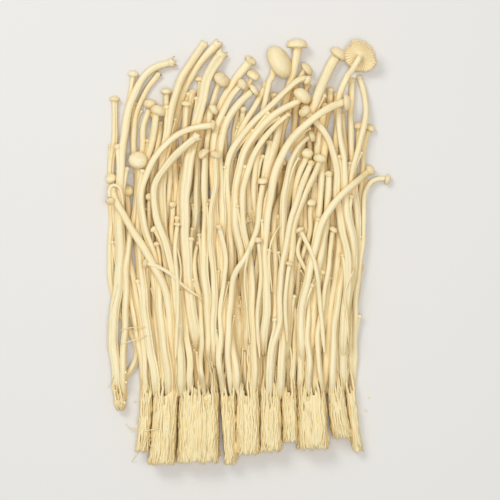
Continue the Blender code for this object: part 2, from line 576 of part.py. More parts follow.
def main():
    for old in list(bpy.data.objects):
        bpy.data.objects.remove(old)
    flesh = material("mushroom_flesh", FLESH, 0.55)
    base_flesh = material("base_flesh", BASE_FLESH, 0.75)
    mushrooms = planned()
    ways = settled_ways(mushrooms)
    joined = {clump: [] for clump in CLUMPS}
    for number, (m, points) in enumerate(zip(mushrooms, ways)):
        bm = bmesh.new()
        build_mushroom(bm, m, points)
        name = "mushroom_" + m["name"] if m["free"] else f"joined_stem_{number}"
        made = add_object(name, bm, flesh)
        if not m["free"]:
            joined[m["clump"]].append(made)
    for clump, stems in joined.items():
        bm = bmesh.new()
        build_base(bm, clump)
        base = add_object(clump, bm, base_flesh)
        if stems:
            join_to(base, stems)
    centre_over_origin()


main()
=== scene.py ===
"""A bunch of enoki mushrooms lying on its side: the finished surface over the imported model."""

import math

import bmesh
import bpy
import numpy as np
from bpy.props import FloatProperty, FloatVectorProperty, IntProperty, PointerProperty
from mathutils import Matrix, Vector


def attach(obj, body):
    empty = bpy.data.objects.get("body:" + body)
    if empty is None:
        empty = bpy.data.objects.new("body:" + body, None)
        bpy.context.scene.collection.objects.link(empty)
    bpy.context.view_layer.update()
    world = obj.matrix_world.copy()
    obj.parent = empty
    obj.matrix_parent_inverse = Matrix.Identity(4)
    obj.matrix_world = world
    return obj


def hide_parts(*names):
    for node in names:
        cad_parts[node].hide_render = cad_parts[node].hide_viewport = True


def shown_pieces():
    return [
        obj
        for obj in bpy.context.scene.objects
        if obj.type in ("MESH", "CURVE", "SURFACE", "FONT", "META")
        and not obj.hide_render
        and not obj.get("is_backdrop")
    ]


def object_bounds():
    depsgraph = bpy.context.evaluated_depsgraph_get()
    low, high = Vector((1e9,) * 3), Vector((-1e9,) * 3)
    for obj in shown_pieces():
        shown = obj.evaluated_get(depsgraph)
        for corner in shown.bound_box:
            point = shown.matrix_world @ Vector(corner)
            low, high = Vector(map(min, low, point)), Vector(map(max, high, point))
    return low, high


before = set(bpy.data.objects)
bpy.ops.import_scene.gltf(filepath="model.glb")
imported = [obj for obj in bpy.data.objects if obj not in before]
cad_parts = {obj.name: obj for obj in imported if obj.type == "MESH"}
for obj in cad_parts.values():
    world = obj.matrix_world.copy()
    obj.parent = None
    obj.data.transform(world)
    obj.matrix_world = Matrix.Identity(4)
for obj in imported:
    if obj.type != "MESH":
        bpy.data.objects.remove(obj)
CAD_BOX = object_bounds()

bl_info = {
    "name": "Enoki bunch",
    "version": (1, 0, 0),
    "blender": (4, 5, 0),
    "location": "3D View > Sidebar > Enoki",
    "description": "Grows smooth mushrooms and fibrous bases over the bunch's plain solids",
    "category": "Object",
}

MM = 0.001

# The bunch's solids: the grown-together bases, and the mushrooms that lie loose on them.
BASES = sorted(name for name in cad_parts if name.startswith("clump"))
FREE = sorted(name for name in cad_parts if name.startswith("mushroom"))

# A base's section has this share of the way round of the box that it fills.
ROUNDED = 0.93
# From one strand of a base to the next, and from one layer of them to the next, in strand widths.
STRAND_PITCH = 0.93
LAYER_DEPTH = 0.85
# A base's height at its cut end, at its middle and where the stems leave it, as a share of its greatest.
BASE_SWELL = (0.92, 1.0, 0.82)
# How fast the strands and fibres that run on past a base's end sink between the stems.
SINK_RATE = 0.18

# A mushroom whose cap is wider than this, in millimetres, takes the finer mesh.
BROAD_CAP = 1.9

# Squares of the height maps that the painted shade between the stems and the threads are read from.
BROAD_SQUARE = 0.9 * MM
FINE_SQUARE = 0.4 * MM
THREAD_SQUARE = 1.0 * MM

# The lamps, as (name, place, watts, width), and the light that comes from all round.
LAMPS = (
    ("key", (-0.34, 0.44, 0.72), 2.8, 0.34),
    ("overhead", (0.05, -0.04, 0.90), 3.5, 0.30),
)
AMBIENT_COLOUR = (1.0, 0.99, 0.97, 1.0)
AMBIENT_STRENGTH = 0.46
FLOOR_REACH = 1.5

# The camera looks straight down from this far over a level plane, and sees this width of the plane.
VIEW_CENTRE = (0.46 * MM, 1.09 * MM)
VIEW_LEVEL = 8 * MM
VIEW_DISTANCE = 620 * MM
VIEW_WIDTH = 190 * MM
SENSOR_WIDTH = 36.0

# A cap from its neck to its crown, as (radius, height) in units of the cap's radius. The stem's own
# radius stands in for a radius of None.
BUTTON = (
    (None, -0.34), (None, -0.24), (0.70, -0.15), (0.86, -0.18), (0.95, -0.15), (1.0, -0.03), (0.995, 0.11),
    (0.95, 0.26), (0.87, 0.39), (0.75, 0.51), (0.60, 0.61), (0.42, 0.68), (0.22, 0.72), (0.0, 0.735),
)
BALL = (
    (None, -0.60), (None, -0.48), (0.74, -0.40), (0.90, -0.28), (0.98, -0.12), (1.0, 0.05), (0.97, 0.22),
    (0.90, 0.38), (0.78, 0.53), (0.63, 0.65), (0.45, 0.73), (0.24, 0.78), (0.0, 0.80),
)
EGG = (
    (None, -0.30), (None, -0.26), (0.60, -0.22), (0.80, -0.22), (0.92, -0.17), (0.985, -0.06), (1.0, 0.07),
    (0.98, 0.21), (0.93, 0.35), (0.85, 0.48), (0.74, 0.60), (0.61, 0.70), (0.46, 0.78), (0.31, 0.83),
    (0.15, 0.86), (0.0, 0.87),
)
# An open cap seen from below, thin at its rim.
OPEN = (
    (None, -0.30), (None, -0.20), (0.26, -0.13), (0.36, -0.10), (0.48, -0.085), (0.60, -0.08), (0.72, -0.09),
    (0.84, -0.12), (0.93, -0.15), (0.99, -0.13), (1.0, -0.05), (0.93, 0.06), (0.78, 0.18), (0.55, 0.29),
    (0.28, 0.34), (0.0, 0.36),
)
# A broken end, in units of the stem's radius.
BROKEN = (
    (1.0, -0.9), (1.04, -0.5), (1.12, -0.1), (1.18, 0.25), (1.08, 0.36), (0.82, 0.12), (0.45, -0.05),
    (0.0, -0.1),
)
# How ragged each row of a broken end is.
TORN_EDGE = (0.0, 0.0, 0.3, 1.0, 1.0, 0.5, 0.2, 0.0)


def crumpled(profile, amount):
    return {"profile": profile, "lumps": amount, "dry": 0.35}


# A mushroom whose cap is less than this many times as wide as its stem has lost it.
TORN_BELOW = 1.02

# What sets each of these mushrooms apart; the rest draw theirs at random. Lumps, ovalness, raggedness and
# furrow depths are shares of the radius. A stretch is (x, y, how many times as long) seen from above.
LOOKS = {
    "mushroom_great_oval_cap": {"profile": EGG, "lumps": 0.015, "oval": 0.0, "stretch": (-0.42, 0.91, 1.30)},
    "mushroom_tall_domed_cap": {"profile": BUTTON, "lumps": 0.02, "furrows": 0},
    "mushroom_tall_tilted_cap": {"profile": BUTTON, "lumps": 0.05, "furrows": 0},
    "mushroom_gilled_cap": {
        "profile": OPEN, "gills": 34, "ragged": 0.10, "lumps": 0.05, "rim": 0.6, "stretch": (0.10, 1.0, 1.22),
    },
    "mushroom_long_arching_cap": {"profile": BUTTON, "lumps": 0.04, "furrows": 0},
    "mushroom_left_round_cap": {"profile": EGG, "lumps": 0.04},
    "mushroom_folded_cap": crumpled(BUTTON, 0.12),
    "mushroom_crumpled_left": crumpled(BUTTON, 0.26),
    "mushroom_crumpled_right": crumpled(BUTTON, 0.24),
    "mushroom_middle_crumpled": crumpled(BUTTON, 0.26),
    "mushroom_backward_arch": crumpled(EGG, 0.14),
    "mushroom_tall_torn_outer": {"furrows": 2, "furrow": 0.34},
    "mushroom_tall_torn_middle": {"furrows": 2, "furrow": 0.30},
    "mushroom_tall_torn_inner": {"furrows": 3, "furrow": 0.30},
    "mushroom_left_hook_outer": {"furrows": 1, "furrow": 0.30},
    "mushroom_sweeping_under": {"furrows": 3, "furrow": 0.30},
}


class EnokiSizes(bpy.types.PropertyGroup):
    """Lengths and counts of the finished surface."""

    row_step: FloatProperty(
        name="Row step", description="Length between one row of faces and the next along a stem",
        default=1.0 * MM, unit="LENGTH",
    )
    stem_sides: IntProperty(name="Stem sides", description="Faces round a slender stem", default=18)
    cap_sides: IntProperty(
        name="Cap sides", description="Faces round a mushroom with a broad cap", default=28,
    )
    gilled_sides: IntProperty(
        name="Gilled sides", description="Faces round the gilled cap", default=136,
    )
    strand_width: FloatProperty(
        name="Strand width", description="Width of one fused stem in the base",
        default=1.15 * MM, unit="LENGTH",
    )
    remesh_step: FloatProperty(
        name="Remesh step", description="Size of the faces that fuse the base's strands",
        default=0.34 * MM, unit="LENGTH",
    )
    fibre_pitch: FloatProperty(
        name="Fibre pitch", description="Width that one of the base's fine outer fibres takes up",
        default=0.62 * MM, unit="LENGTH",
    )
    fibre_reach: FloatProperty(
        name="Fibre reach", description="How far the longest outer fibre runs up from the base",
        default=28 * MM, unit="LENGTH",
    )
    companion_share: FloatProperty(
        name="Companions", description="Share of the stems with a thinner one grown on to them",
        default=0.8, subtype="FACTOR",
    )


class EnokiColours(bpy.types.PropertyGroup):
    """Colours of the flesh, the fibres and the stage."""

    flesh: FloatVectorProperty(
        name="Flesh", description="Lit flesh of stems and caps", subtype="COLOR", default=(0.89, 0.80, 0.55),
    )
    flesh_warm: FloatVectorProperty(
        name="Warm flesh", description="Flesh between the pale fibres", subtype="COLOR",
        default=(0.84, 0.71, 0.41),
    )
    # Painted shade: a warm ochre that stands in for the shade deep between the stems.
    painted_crevice_shade: FloatVectorProperty(
        name="Crevice", description="Stained flesh deep between the stems", subtype="COLOR",
        default=(0.87, 0.62, 0.25),
    )
    dried: FloatVectorProperty(
        name="Dried edge", description="Dried flesh at torn ends and rims", subtype="COLOR",
        default=(0.62, 0.42, 0.20),
    )
    straw: FloatVectorProperty(
        name="Straw", description="Fibres of the cut base", subtype="COLOR", default=(0.87, 0.71, 0.37),
    )
    floor: FloatVectorProperty(
        name="Floor", description="The surface under the bunch", subtype="COLOR", default=(0.72, 0.71, 0.69),
    )


def chance_for(name):
    """A random source that belongs to this name, the same in every run."""
    return np.random.default_rng(sum(ord(c) * (i + 7) for i, c in enumerate(name)))


# Reading the plain solids.


def merged_copy(node):
    """A node's mesh as a bmesh, its loose triangles joined."""
    bm = bmesh.new()
    bm.from_mesh(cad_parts[node].data)
    bmesh.ops.remove_doubles(bm, verts=bm.verts, dist=0.001 * MM)
    return bm


def rings_from(crown, most):
    """The rings of points round a tube, from the one next to its crown on."""
    seen, ring, rings = {crown}, [crown], []
    for _ in range(most):
        following = []
        for vert in ring:
            for edge in vert.link_edges:
                other = edge.other_vert(vert)
                if other not in seen:
                    seen.add(other)
                    following.append(other)
        if not following:
            break
        ring = following
        rings.append(ring)
    return rings


def middle(points):
    return sum(points, Vector()) / len(points)


def is_crown(vert):
    """True for the point on top of a cap: each ring that follows has as many points as it has edges."""
    sides = len(vert.link_edges)
    if sides not in (5, 6):
        return False
    rings = rings_from(vert, 4)
    return len(rings) == 4 and all(len(ring) == sides for ring in rings)


def mushroom_from(crown, base_end):
    """A mushroom's way and sizes in millimetres, read from the rings of its plain solid."""
    sides = len(crown.link_edges)
    rings = [[v.co / MM for v in ring] for ring in rings_from(crown, 30)]
    whole = next((i for i, ring in enumerate(rings) if len(ring) != sides), len(rings))
    at_base = rings[whole] if whole < len(rings) else []
    rings = rings[:whole]
    top, rim, under, neck = rings[:4]
    axis = (middle(top) - middle(under)).normalized()
    rim_radius = (rim[0] - middle(rim)).length
    way = [middle(ring) for ring in rings[3:]]
    stem = (neck[0] - middle(neck)).length
    way = [p for p in way if p.y > base_end + 1.0]
    foot = [p for p in rings[-1] + at_base if abs(p.y - base_end) < 0.6]
    if foot:
        way.append(middle(foot))
    return {
        "way": way[::-1],
        "stem": stem,
        "axis": axis,
        "cap": rim_radius,
        "centre": middle(rim) - axis * 0.12 * rim_radius,
        "torn": rim_radius < TORN_BELOW * stem,
    }


def mushrooms_of(node, base_end):
    bm = merged_copy(node)
    found = [mushroom_from(vert, base_end) for vert in bm.verts if is_crown(vert)]
    bm.free()
    return found


def underside_of(node):
    """(y, left x, right x) of each section of a base's flat underside, and the base's height, in mm."""
    bm = merged_copy(node)
    points = [v.co / MM for v in bm.verts]
    bm.free()
    flat = [p for p in points if abs(p.z) < 0.001]
    sections = []
    for y in sorted({round(p.y, 2) for p in flat}):
        row = [p.x for p in flat if abs(p.y - y) < 0.02]
        sections.append((y, min(row), max(row)))
    end = sections[-1][0]
    height = max(p.z for p in points if p.y < end + 0.01)
    return sections, height


# Growing the fine ones.


def smooth_way(points, step, passes):
    """Points a step apart along a smooth curve through these, which are unevenly spaced."""
    points = np.array([tuple(p) for p in points])
    along = np.concatenate([[0], np.cumsum(np.linalg.norm(np.diff(points, axis=0), axis=1))])
    slope = np.gradient(points, along, axis=0)
    wanted = np.linspace(0, along[-1], max(int(along[-1] / step), 6))
    piece = np.clip(np.searchsorted(along, wanted, side="right") - 1, 0, len(points) - 2)
    span = (along[piece + 1] - along[piece])[:, None]
    t = (wanted - along[piece])[:, None] / span
    curve = (
        (2 * t**3 - 3 * t**2 + 1) * points[piece]
        + (t**3 - 2 * t**2 + t) * span * slope[piece]
        + (3 * t**2 - 2 * t**3) * points[piece + 1]
        + (t**3 - t**2) * span * slope[piece + 1]
    )
    for _ in range(passes):
        curve[1:-1] = 0.25 * curve[:-2] + 0.5 * curve[1:-1] + 0.25 * curve[2:]
    return [Vector(p) for p in curve]


def turned_frames(points):
    """(centre, side, across, ahead) at each point, turned as little as it can be from one to the next."""
    side = Vector((1, 0, 0))
    frames = []
    for k, point in enumerate(points):
        ahead = (points[min(k + 1, len(points) - 1)] - points[max(k - 1, 0)]).normalized()
        side = (side - ahead * side.dot(ahead)).normalized()
        frames.append((point, side, ahead.cross(side), ahead))
    return frames


def waves(chance, counts):
    """A smooth random function round a circle, between about -1 and 1, with these whole numbers of waves."""
    phases = chance.uniform(0, math.tau, len(counts))
    weights = chance.uniform(0.5, 1.0, len(counts))
    weights = weights / weights.sum()

    def at(angle):
        return sum(w * math.sin(n * angle + p) for w, n, p in zip(weights, counts, phases))

    return at


def skin_layers(bm):
    layers = bm.verts.layers
    return layers.float_vector.new("fibre"), layers.float.new("dry"), layers.float.new("tone")


def sweep(bm, rows, sides, tone, offset, fibre_radius):
    """Extrudes a ring of faces through the rows, each (frame, radius at an angle, lift at an angle, along,
    dry), and closes the mesh at the last one, whose radius is nothing."""
    fibre, dry_layer, tone_layer = skin_layers(bm)
    made = bmesh.ops.create_circle(bm, cap_ends=True, radius=1.0, segments=sides)
    face = made["verts"][0].link_faces[0]
    angles = [math.tau * i / sides for i in range(sides)]
    last = len(rows) - 1
    for k, (place, radius, lift, along, dry) in enumerate(rows):
        centre, side, across, ahead = place
        if k == last:
            crown = bmesh.ops.poke(bm, faces=[face])["verts"][0]
            crown.co = (centre + ahead * lift(0.0)) * MM
            crown[fibre] = Vector((0, 0, along)) + offset
            crown[dry_layer], crown[tone_layer] = dry, tone
            return
        if k:
            face = bmesh.ops.extrude_discrete_faces(bm, faces=[face])["faces"][0]
        for angle, vert in zip(angles, face.verts):
            over, up = math.cos(angle), math.sin(angle)
            r = radius(angle)
            vert.co = (centre + side * (r * over) + across * (r * up) + ahead * lift(angle)) * MM
            vert[fibre] = Vector((over * fibre_radius, up * fibre_radius, along)) + offset
            vert[dry_layer], vert[tone_layer] = dry, tone


def stem_rows(points, stem, look, chance, taper):
    """Rows of a stem along the points, with its furrows and its slight swellings."""
    furrows = [(chance.uniform(0, math.tau), chance.uniform(-0.006, 0.006)) for _ in range(look["furrows"])]
    swell = chance.uniform(0, math.tau, 3)
    oval, turn = look["oval"], chance.uniform(0, math.tau)
    sheer = waves(chance, (3, 4, 5))
    rows = []
    total = len(points)
    for k, place in enumerate(turned_frames(points)):
        along = k * look["step"]
        t = k / total
        size = stem * (taper[0] * (1 - t) + taper[1] * t) * min(1.0, 0.4 + along * 0.1)
        size *= 1 + 0.06 * math.sin(along * 0.13 + swell[0]) + 0.03 * math.sin(along * 0.5 + swell[1])

        def radius(angle, size=size, along=along):
            r = 1 + oval * math.cos(2 * (angle - turn - along * 0.01)) + 0.03 * sheer(angle + along * 0.004)
            for start, twist in furrows:
                off = (angle - start - twist * along + math.pi) % math.tau - math.pi
                r -= look["furrow"] * math.exp(-((off / 0.26) ** 2))
            return size * r

        rows.append((place, radius, lambda angle: 0.0, along * 0.06, 0.0))
    return rows


def cap_rows(m, look, chance, start):
    """Rows of the cap or of the broken end, about the cap's axis."""
    centre, axis, stem = m["centre"], m["axis"], m["stem"]
    size = stem if m["torn"] else m["cap"]
    profile = BROKEN if m["torn"] else look["profile"]
    side = start[1]
    side = (side - axis * side.dot(axis)).normalized()
    place = (centre, side, axis.cross(side), axis)
    lump, rise = waves(chance, (1, 2, 3)), waves(chance, (1, 2, 3, 4))
    jag = waves(chance, (3, 5, 8, 13))
    rows = []
    for k, (wide, high) in enumerate(profile):
        base = stem * 1.02 if wide is None else wide * size
        share = 0.0 if wide is None else min(1.0, k / 4)
        edge = TORN_EDGE[k] if m["torn"] else float((wide or 0) > 0.86)

        def radius(angle, base=base, share=share, edge=edge):
            r = 1 + share * look["lumps"] * lump(angle) + share * look["oval"] * math.cos(2 * angle)
            return base * (r + edge * look["ragged"] * jag(angle))

        gilled = look["gills"] and wide and 0.2 < wide < 0.95 and high < 0

        def lift(angle, high=high, share=share, edge=edge, gilled=gilled):
            h = high * look["dome"] if high > 0 and not m["torn"] else high
            h += share * look["lumps"] * 0.8 * rise(angle)
            if m["torn"]:
                h += edge * 0.7 * jag(angle)
            if gilled:
                h -= 0.035 * math.cos(look["gills"] * angle)
            return size * h

        dry = look["dry"] * share + (0.45 if m["torn"] else look["rim"]) * edge
        # The gills underneath take a little more of the dried tan, darker under the cap.
        if gilled:
            dry += 0.04
        rows.append((place, radius, lift, 50 + k * 0.2, min(dry, 1.0)))
    return rows


def drawn_look(name, m, chance):
    """The mushroom's own look over a random one."""
    slight = m["cap"] < 1.45 * m["stem"]
    look = {
        "profile": BALL if slight or chance.random() < 0.3 else BUTTON,
        "dome": chance.uniform(0.88, 1.15),
        "lumps": chance.uniform(0.03, 0.10),
        "oval": chance.uniform(0.0, 0.10),
        "furrows": int(chance.integers(0, 4)),
        "furrow": chance.uniform(0.12, 0.30),
        "ragged": 0.14 if m["torn"] else 0.0,
        "gills": 0,
        "dry": chance.choice((0.0, 0.0, 0.12)),
        "rim": chance.choice((0.0, 0.10, 0.25)),
        "tone": chance.uniform(0, 1),
    }
    look.update(LOOKS.get(name, {}))
    return look


def grow_mushroom(bm, m, name, chance, root):
    """Adds one smooth mushroom, its foot sunk into the base, as a closed mesh."""
    sizes = bpy.context.scene.enoki_sizes
    look = drawn_look(name, m, chance)
    look["step"] = sizes.row_step / MM
    reach = -BROKEN[0][1] * m["stem"] if m["torn"] else -look["profile"][0][1] * m["cap"]
    way = [m["way"][0] + Vector((0, -root, -0.5 * root)), *m["way"][:-1]]
    way = [p for p in way if (p - m["centre"]).dot(m["axis"]) < -reach - 0.9 * m["stem"] or p is way[0]]
    way += [m["centre"] - m["axis"] * (reach + 0.7 * m["stem"]), m["centre"] - m["axis"] * (reach + 0.05)]
    points = wandered(smooth_way(way, look["step"], 14), look["step"], chance)
    broad = m["cap"] > BROAD_CAP
    sides = sizes.gilled_sides if look["gills"] else sizes.cap_sides if broad else sizes.stem_sides
    rows = stem_rows(points, m["stem"], look, chance, (1.0, 0.97))
    rows += cap_rows(m, look, chance, rows[-1][0])
    offset = Vector(chance.uniform(-40, 40, 3))
    part = bmesh.new()
    sweep(part, rows, sides, look["tone"], offset, m["stem"])
    if "stretch" in look:
        stretch_cap(part, m, look["stretch"])
    for turn, drop in ((-1, -0.1), (1, -0.1), (chance.choice((-1, 1)), -1.0)):
        if chance.random() < sizes.companion_share:
            add_companion(part, points, m, look, chance, offset, turn, drop)
    add_to(bm, part)


def wandered(points, step, chance):
    """The points moved a little off their smooth curve, less and less towards the cap."""
    phase = chance.uniform(0, math.tau, 4)
    for k, p in enumerate(points):
        along = k * step
        much = min(1.0, (len(points) - k) * step / 14)
        p.x += much * (0.32 * math.sin(along * 0.15 + phase[0]) + 0.12 * math.sin(along * 0.42 + phase[1]))
        p.z += much * (0.16 * math.sin(along * 0.19 + phase[2]) + 0.06 * math.sin(along * 0.5 + phase[3]))
    return points


def stretch_cap(bm, m, stretch):
    """Makes the cap longer along a direction seen from above, (x, y, how many times as long)."""
    along = Vector((stretch[0], stretch[1], 0)).normalized()
    for vert in bm.verts:
        off = vert.co / MM - m["centre"]
        near = min(1.0, max(0.0, 3.0 - 2.0 * off.length / m["cap"]))
        vert.co += along * (off.dot(along) * (stretch[2] - 1) * near * MM)


def add_companion(bm, points, m, look, chance, offset, turn, drop):
    """A thinner stem grown on to the side of this one, which ends part of the way up."""
    stop = int(len(points) * chance.uniform(0.35, 0.93))
    lean = chance.uniform(0.5, 0.95) * m["stem"] * turn
    drop = (drop + chance.uniform(-0.5, 0.5)) * m["stem"]
    stem = m["stem"] * chance.uniform(0.34, 0.70)
    part = points[:stop]
    if len(part) < 12:
        return
    shifted = []
    for k, (p, side, across, ahead) in enumerate(turned_frames(part)):
        away = max(0.0, (k - stop + 14) / 14) ** 2 * 1.1 * math.copysign(1, lean)
        level = ahead.cross(Vector((0, 0, 1))).normalized()
        shifted.append(p + level * (lean + away) + Vector((0, 0, drop)))
    for p in shifted:
        p.z = max(p.z, stem)
    own = dict(look, furrows=0, profile=BALL, lumps=0.08, dome=1.1, gills=0, ragged=0.0, rim=0.0)
    cap = {
        "centre": shifted[-1], "axis": (shifted[-1] - shifted[-2]).normalized(), "stem": stem * 0.9,
        "cap": stem * chance.uniform(1.15, 1.7), "torn": False,
    }
    rows = stem_rows(shifted[:-1], stem, own, chance, (1.0, 0.85))
    rows += cap_rows(cap, own, chance, rows[-1][0])
    more = bmesh.new()
    sides = bpy.context.scene.enoki_sizes.stem_sides
    sweep(more, rows, sides, look["tone"], offset + Vector((9, 9, 0)), stem)
    add_to(bm, more)


def add_to(bm, part):
    """Closes the part's open ends, adds its mesh to bm, and frees it."""
    bmesh.ops.holes_fill(part, edges=[edge for edge in part.edges if edge.is_boundary], sides=0)
    bmesh.ops.recalc_face_normals(part, faces=part.faces)
    mesh = bpy.data.meshes.new("part")
    part.to_mesh(mesh)
    part.free()
    bm.from_mesh(mesh)
    bpy.data.meshes.remove(mesh)


def keep_in_box(mesh):
    """Moves the points that lie outside the plain model's box on to it."""
    co = np.empty(len(mesh.vertices) * 3, np.float32)
    mesh.vertices.foreach_get("co", co)
    low, high = np.array(CAD_BOX[0]), np.array(CAD_BOX[1])
    margin = 0.001 * MM
    co = np.clip(co.reshape(-1, 3), low + (margin, margin, 0), high - margin)
    mesh.vertices.foreach_set("co", co.astype(np.float32).ravel())
    mesh.update()


def finish_piece(bm, name, node):
    """Makes the bmesh a finished piece that rides on the bunch and stands for its plain solid."""
    mesh = bpy.data.meshes.new(name)
    bm.to_mesh(mesh)
    bm.free()
    keep_in_box(mesh)
    mesh.shade_smooth()
    piece = bpy.data.objects.new(name, mesh)
    bpy.context.scene.collection.objects.link(piece)
    mesh.materials.append(flesh_material())
    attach(piece, "root")
    if node:
        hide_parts(node)
    return piece


# The grown-together bases.


def arch_point(left, right, height, t):
    """A point round a base's section, t from 0 to 1, and the way inwards from it: up the right side, over
    the top, down the left side, and back along the flat underside."""
    half, centre = (right - left) / 2, (left + right) / 2
    arch = 2 * (half + height)
    along = t * (arch + 2 * half)
    if along > arch:
        x, z = along - arch - half, 0.0
    else:
        x = min(max(half + height - along, -half), half)
        z = min(along, arch - along, height)
        round_off = ((x / half) ** 4 + (z / height) ** 4) ** 0.25
        x, z = x / round_off, z / round_off
    inward = Vector((-x, 0, height * 0.45 - z))
    return Vector((centre + x, 0, z)), inward.normalized()


def strand_way(sections, height, t, inset, top, low, chance, wobble):
    """Points along one strand of a base, from its cut end up to where it leaves the mass."""
    ys, lefts, rights = (np.array(column) for column in zip(*sections))
    phase = chance.uniform(0, math.tau, 4)
    points = []
    for y in np.arange(low, top, 1.6):
        inside = min(max(y, ys[0]), ys[-1])
        left, right = np.interp(inside, ys, lefts), np.interp(inside, ys, rights)
        swell = np.interp(inside, ys, BASE_SWELL)
        on, inward = arch_point(left, right, height * swell, t)
        sink = inset + max(0.0, y - ys[-1]) * SINK_RATE
        p = on + inward * sink
        p.x += wobble * (math.sin(y * 0.55 + phase[0]) + 0.5 * math.sin(y * 1.3 + phase[1]))
        p.z += wobble * (math.sin(y * 0.47 + phase[2]) + 0.5 * math.sin(y * 1.1 + phase[3]))
        p.y = y
        points.append(p)
    return points


def base_mesh(node, sections, height):
    """One closed mesh of a base's strands, side by side round a solid heart, fused where they touch."""
    sizes = bpy.context.scene.enoki_sizes
    chance = chance_for(node)
    width = sizes.strand_width / MM
    low, end = sections[0][0], sections[-1][0]
    span = sections[0][2] - sections[0][1]
    around = 2 * (span + height) * ROUNDED
    ways = []
    depth, layer = 0.45 * width, 0
    while depth < min(span, height) / 2:
        count = max(int((around - 7.5 * depth) / (STRAND_PITCH * width)), 1)
        for i in range(count):
            t = (i + 0.5 * (layer % 2) + chance.uniform(-0.2, 0.2)) / count % 1.0
            start = low + 0.6 + chance.uniform(0, 1) ** 2 * 2.4
            top = low + 9 if layer > 1 else end + chance.uniform(-9, 1)
            ridge = depth + (chance.uniform(0, 0.45) if layer == 0 else 0.0)
            points = strand_way(sections, height, t, ridge, top, start, chance, 0.13)
            thick = 0.5 * width * chance.uniform(0.78, 1.2)
            ways.append((points, [thick] * len(points)))
        depth += LAYER_DEPTH * width
        layer += 1
    tubes = tubes_of(node + "_strands", ways)
    bm = bmesh.new()
    bm.from_mesh(tubes)
    add_heart(bm, sections, height, 1.2 * width)
    bm.to_mesh(tubes)
    bm.free()
    return fused(tubes, sizes.remesh_step)


def add_fibres(bm, node, sections, height):
    """Adds the fine fibres that lie side by side over a base, frayed at its cut end."""
    sizes = bpy.context.scene.enoki_sizes
    chance = chance_for(node + " fibres")
    low, end = sections[0][0], sections[-1][0]
    span = sections[0][2] - sections[0][1]
    count = int(2 * (span + height) * ROUNDED * MM / sizes.fibre_pitch)
    ways = []
    for i in range(count):
        t = (i + chance.uniform(-0.4, 0.4)) / count % 1.0
        start = low + 0.05 + chance.uniform(0, 1) ** 2 * 3.6
        top = end - 7 + chance.uniform(0, 1) ** 2 * (7 + sizes.fibre_reach / MM)
        inset = chance.uniform(0.0, 0.5)
        points = strand_way(sections, height, t, inset, top, start, chance, 0.22)
        thick = chance.uniform(0.26, 0.52)
        fray = chance.uniform(-0.9, 0.9)
        radii = []
        for p in points:
            loose = max(0.0, 1 - (p.y - start) / 5)
            p.x += fray * loose**2
            ends = min(1.0, 0.35 + (top - p.y) / 10, 0.7 + (p.y - start) / 4)
            radii.append(thick * ends)
        ways.append((points, radii))
    tubes = tubes_of(node + "_fibres", ways)
    part = bmesh.new()
    part.from_mesh(tubes)
    bpy.data.meshes.remove(tubes)
    bmesh.ops.remove_doubles(part, verts=part.verts, dist=0.0005 * MM)
    add_to(bm, part)


def tubes_of(name, ways):
    """A mesh of closed tubes, one along each list of points with its list of radii, in millimetres."""
    curve = bpy.data.curves.new(name, "CURVE")
    curve.dimensions = "3D"
    curve.bevel_depth = 1.0 * MM
    curve.bevel_resolution = 1
    curve.use_fill_caps = True
    for points, radii in ways:
        spline = curve.splines.new("POLY")
        spline.points.add(len(points) - 1)
        for point, p, r in zip(spline.points, points, radii):
            point.co = (p.x * MM, p.y * MM, max(p.z, r) * MM, 1)
            point.radius = r
    holder = bpy.data.objects.new(name, curve)
    bpy.context.scene.collection.objects.link(holder)
    graph = bpy.context.evaluated_depsgraph_get()
    tubes = bpy.data.meshes.new_from_object(holder.evaluated_get(graph))
    bpy.data.objects.remove(holder)
    bpy.data.curves.remove(curve)
    return tubes


def add_heart(bm, sections, height, inset):
    """The solid inside of a base, set back from its ends and under its strands."""
    low, end = sections[0][0] + 2.2, sections[-1][0] - 4
    ys, lefts, rights = (np.array(column) for column in zip(*sections))
    made = bmesh.ops.create_circle(bm, cap_ends=True, radius=1.0, segments=28)
    face = made["verts"][0].link_faces[0]
    start = list(face.verts)
    for k, y in enumerate(np.linspace(low, end, 7)):
        if k:
            face = bmesh.ops.extrude_discrete_faces(bm, faces=[face])["faces"][0]
        left, right = np.interp(y, ys, lefts), np.interp(y, ys, rights)
        for i, vert in enumerate(face.verts):
            on, inward = arch_point(left, right, height * 0.90, 1 - (i + 0.5) / len(start))
            p = on + inward * inset
            vert.co = Vector((p.x, y, max(p.z, 0.4))) * MM
    if not start[0].link_faces or all(len(f.verts) == 4 for f in start[0].link_faces):
        bmesh.ops.contextual_create(bm, geom=start)
    bmesh.ops.recalc_face_normals(bm, faces=bm.faces)


def fused(mesh, step):
    """The mesh with everything that overlaps in it grown into one skin."""
    lump = bpy.data.objects.new("lump", mesh)
    bpy.context.scene.collection.objects.link(lump)
    remesh = lump.modifiers.new("fuse", "REMESH")
    remesh.mode = "VOXEL"
    remesh.voxel_size = step
    soften = lump.modifiers.new("soften", "SMOOTH")
    soften.factor = 0.35
    soften.iterations = 1
    graph = bpy.context.evaluated_depsgraph_get()
    made = bpy.data.meshes.new_from_object(lump.evaluated_get(graph))
    bpy.data.objects.remove(lump)
    bpy.data.meshes.remove(mesh)
    return made


def colour_base(bm, low, chance):
    """Sets the base's fibres along its length, and dries it towards the cut ends."""
    fibre, dry_layer, tone_layer = skin_layers(bm)
    offset = Vector(chance.uniform(-40, 40, 3))
    for vert in bm.verts:
        p = vert.co / MM
        vert[fibre] = Vector((p.x * 0.9, p.z * 0.9, p.y * 0.05)) + offset
        vert[dry_layer] = 0.25 * math.exp(-max(p.y - low, 0.0) / 1.4)
        vert[tone_layer] = -1.0 + min(max((p.y - low - 24) / 22, 0.0), 1.0)


# Colours.


def link(tree, source, target):
    tree.links.new(source, target)


